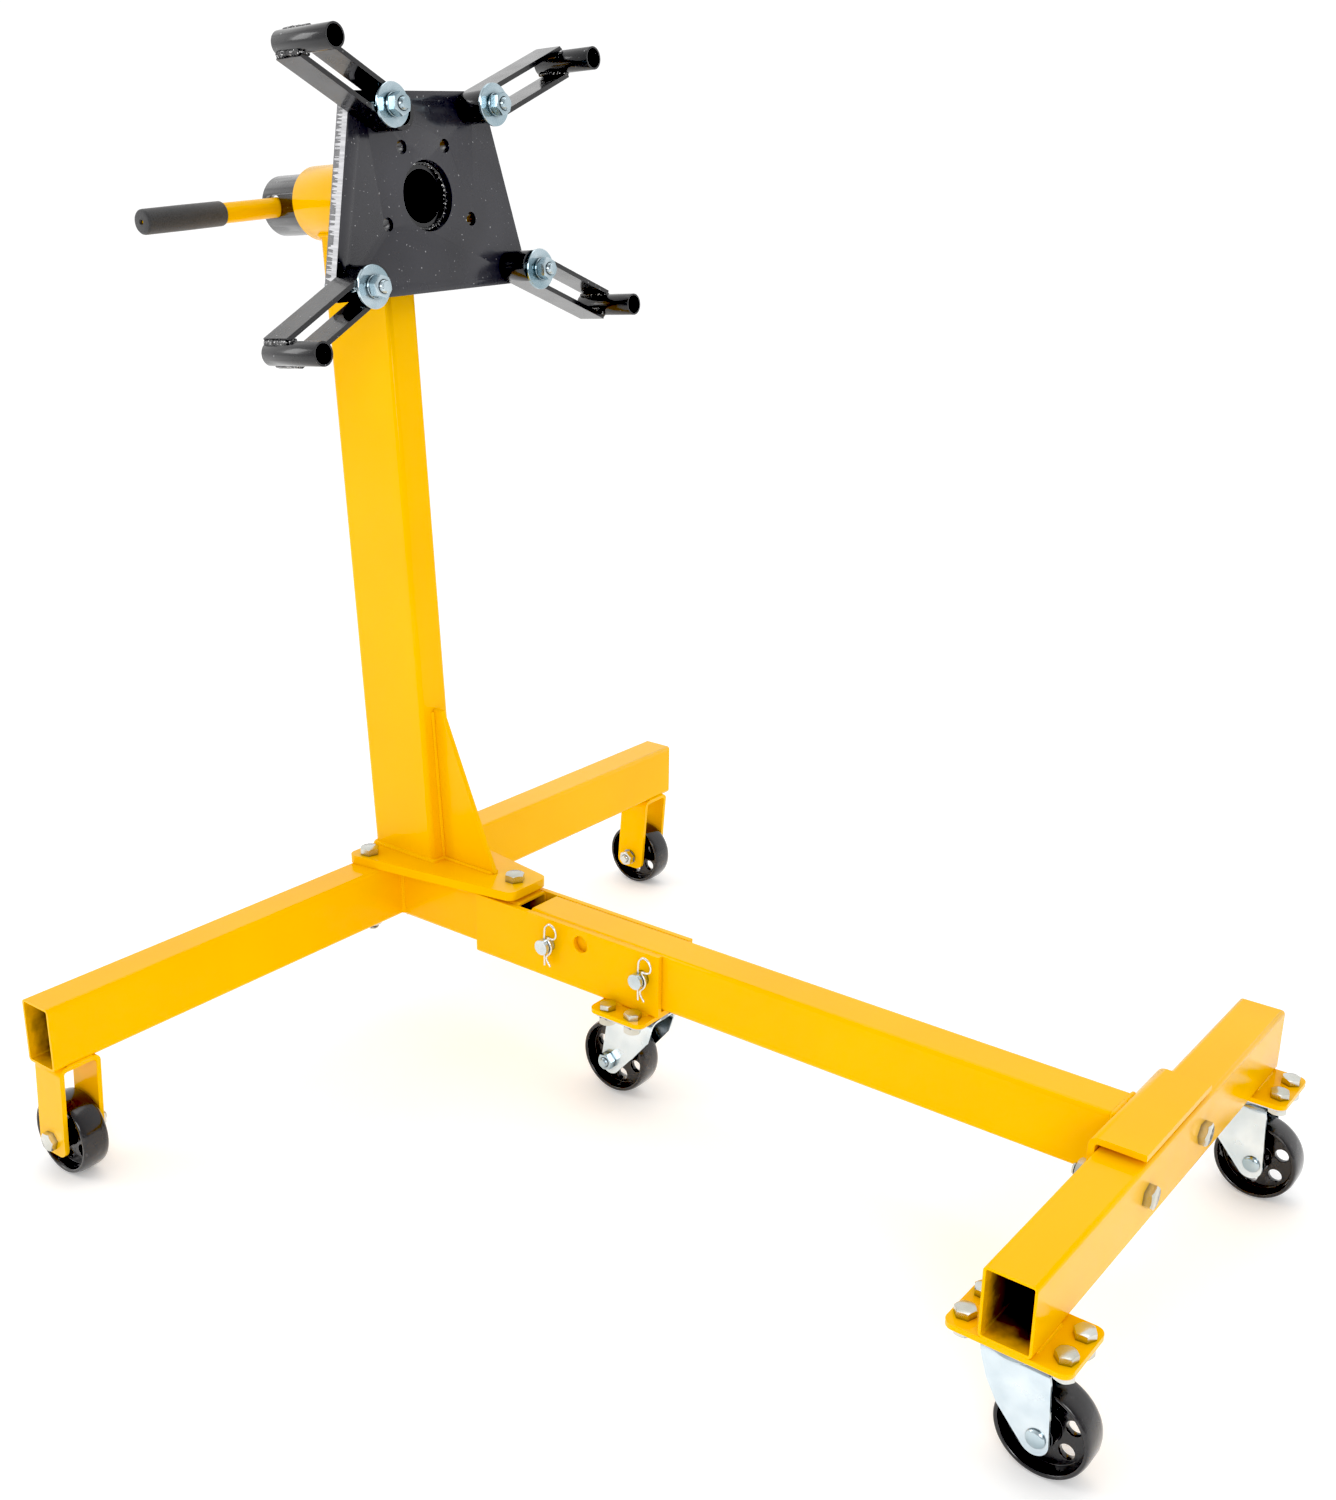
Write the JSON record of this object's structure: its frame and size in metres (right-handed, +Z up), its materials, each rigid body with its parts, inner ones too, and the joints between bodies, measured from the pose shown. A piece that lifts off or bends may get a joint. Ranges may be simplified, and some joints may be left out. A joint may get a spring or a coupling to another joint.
{
  "type": "folding engine stand",
  "caption": "Wheeled T-frame engine stand with a folding front leg, leaning post, turning head plate, slotted clamp arms and a slide-through handle.",
  "frame": {"origin": "on the floor, under the centre of the bounding box", "axes": "+X forwards along the folding leg, +Y to the left seen from behind the post, +Z up"},
  "size_m": [1.0918, 0.948, 1.0395],
  "materials": {
    "yellow_paint": "gloss",
    "black_paint": "gloss",
    "foam_grip": "matte",
    "black_wheel": "gloss",
    "spring_steel": "bright",
    "zinc_sheet": "zinc plated",
    "zinc_bolts": "zinc plated"
  },
  "bodies": {
    "frame": {"rear_leg": "yellow_paint", "stub_tube": "yellow_paint", "hinge_channel": "yellow_paint", "base_plate": "yellow_paint", "base_bolts": "zinc_bolts", "post": "yellow_paint", "gusset": "yellow_paint", "sleeve": "yellow_paint", "middle_pad": "yellow_paint", "pivot_pin": "zinc_bolts", "pivot_clip": "spring_steel", "lock_pin": "zinc_bolts", "lock_clip": "spring_steel", "rear_fork_left": "yellow_paint", "rear_fork_right": "yellow_paint", "rear_axle_left": "zinc_bolts", "rear_axle_right": "zinc_bolts", "middle_pad_bolts": "zinc_bolts", "caster_plate_middle": "zinc_sheet", "kingpin_middle": "zinc_bolts"},
    "folding_leg": {"front_beam": "yellow_paint", "lock_pin_core": "zinc_bolts", "beam_bracket": "yellow_paint", "bracket_bolts": "zinc_bolts", "crossbar": "yellow_paint", "front_pad_left": "yellow_paint", "front_pad_right": "yellow_paint", "front_pad_bolts": "zinc_bolts", "caster_plate_front_left": "zinc_sheet", "caster_plate_front_right": "zinc_sheet", "kingpin_front_left": "zinc_bolts", "kingpin_front_right": "zinc_bolts"},
    "rear_wheel_left": {"rear_wheel_left": "black_wheel"},
    "rear_wheel_right": {"rear_wheel_right": "black_wheel"},
    "head": {"head_tube": "black_paint", "head_plate": "black_paint", "arm_bolts": "zinc_bolts"},
    "handle": {"handle_rod": "yellow_paint", "handle_grip": "foam_grip"},
    "swivel_front_left": {"caster_fork_front_left": "zinc_sheet", "caster_axle_front_left": "zinc_bolts"},
    "wheel_front_left": {"caster_wheel_front_left": "black_wheel"},
    "swivel_front_right": {"caster_fork_front_right": "zinc_sheet", "caster_axle_front_right": "zinc_bolts"},
    "wheel_front_right": {"caster_wheel_front_right": "black_wheel"},
    "swivel_middle": {"caster_fork_middle": "zinc_sheet", "caster_axle_middle": "zinc_bolts"},
    "wheel_middle": {"caster_wheel_middle": "black_wheel"},
    "clamp_top_left": {"arm_clamp_top_left": "zinc_bolts"},
    "arm_top_left": {"arm_top_left": "black_paint"},
    "clamp_top_right": {"arm_clamp_top_right": "zinc_bolts"},
    "arm_top_right": {"arm_top_right": "black_paint"},
    "clamp_low_left": {"arm_clamp_low_left": "zinc_bolts"},
    "arm_low_left": {"arm_low_left": "black_paint"},
    "clamp_low_right": {"arm_clamp_low_right": "zinc_bolts"},
    "arm_low_right": {"arm_low_right": "black_paint"}
  },
  "joints": [
    {"name": "fold", "type": "hinge", "parent": "frame", "child": "folding_leg", "pos_m": [-0.166, 0, 0.157], "axis": [0, -1, 0], "range_deg": [0, 90]},
    {"name": "swivel_front_left", "type": "hinge", "parent": "folding_leg", "child": "swivel_front_left", "pos_m": [0.48, 0.2315, 0.1], "axis": [0, 0, 1], "continuous": true},
    {"name": "spin_front_left", "type": "hinge", "parent": "swivel_front_left", "child": "wheel_front_left", "pos_m": [0.506, 0.2315, 0.04], "axis": [0, 1, 0], "continuous": true},
    {"name": "swivel_front_right", "type": "hinge", "parent": "folding_leg", "child": "swivel_front_right", "pos_m": [0.48, -0.2315, 0.1], "axis": [0, 0, 1], "continuous": true},
    {"name": "spin_front_right", "type": "hinge", "parent": "swivel_front_right", "child": "wheel_front_right", "pos_m": [0.506, -0.2315, 0.04], "axis": [0, 1, 0], "continuous": true},
    {"name": "swivel_middle", "type": "hinge", "parent": "frame", "child": "swivel_middle", "pos_m": [-0.06, 0, 0.1], "axis": [0, 0, 1], "continuous": true},
    {"name": "spin_middle", "type": "hinge", "parent": "swivel_middle", "child": "wheel_middle", "pos_m": [-0.091, 0, 0.043], "axis": [0, 1, 0], "continuous": true},
    {"name": "spin_rear_left", "type": "hinge", "parent": "frame", "child": "rear_wheel_left", "pos_m": [-0.415, 0.445, 0.04], "axis": [0, 1, 0], "continuous": true},
    {"name": "spin_rear_right", "type": "hinge", "parent": "frame", "child": "rear_wheel_right", "pos_m": [-0.415, -0.445, 0.04], "axis": [0, 1, 0], "continuous": true},
    {"name": "head_turn", "type": "hinge", "parent": "frame", "child": "head", "pos_m": [-0.408, 0, 0.89], "axis": [0.9973, 0, 0.0732], "continuous": true},
    {"name": "handle_slide", "type": "slide", "parent": "head", "child": "handle", "axis": [-0.0046, 0.998, 0.0625], "range_m": [-0.02, 0.06]},
    {"name": "swing_arm_top_left", "type": "hinge", "parent": "head", "child": "clamp_top_left", "pos_m": [-0.34018, 0.06603, 0.97684], "axis": [0.9973, 0, 0.0732], "range_deg": [-60, 60]},
    {"name": "slide_arm_top_left", "type": "slide", "parent": "clamp_top_left", "child": "arm_top_left", "axis": [-0.0267, 0.9311, 0.3639], "range_m": [-0.035, 0.0063]},
    {"name": "swing_arm_top_right", "type": "hinge", "parent": "head", "child": "clamp_top_right", "pos_m": [-0.33993, -0.06993, 0.97352], "axis": [0.9973, 0, 0.0732], "range_deg": [-60, 60]},
    {"name": "slide_arm_top_right", "type": "slide", "parent": "clamp_top_right", "child": "arm_top_right", "axis": [-0.0339, -0.8862, 0.4621], "range_m": [-0.035, 0.0183]},
    {"name": "swing_arm_low_left", "type": "hinge", "parent": "head", "child": "clamp_low_left", "pos_m": [-0.32877, 0.11785, 0.82148], "axis": [0.9973, 0, 0.0732], "range_deg": [-60, 60]},
    {"name": "slide_arm_low_left", "type": "slide", "parent": "clamp_low_left", "child": "arm_low_left", "axis": [0.027, 0.9298, -0.3671], "range_m": [-0.035, 0.0133]},
    {"name": "swing_arm_low_right", "type": "hinge", "parent": "head", "child": "clamp_low_right", "pos_m": [-0.32835, -0.11408, 0.81582], "axis": [0.9973, 0, 0.0732], "range_deg": [-60, 60]},
    {"name": "slide_arm_low_right", "type": "slide", "parent": "clamp_low_right", "child": "arm_low_right", "axis": [0.0337, -0.8878, -0.459], "range_m": [-0.035, 0.0133]}
  ]
}
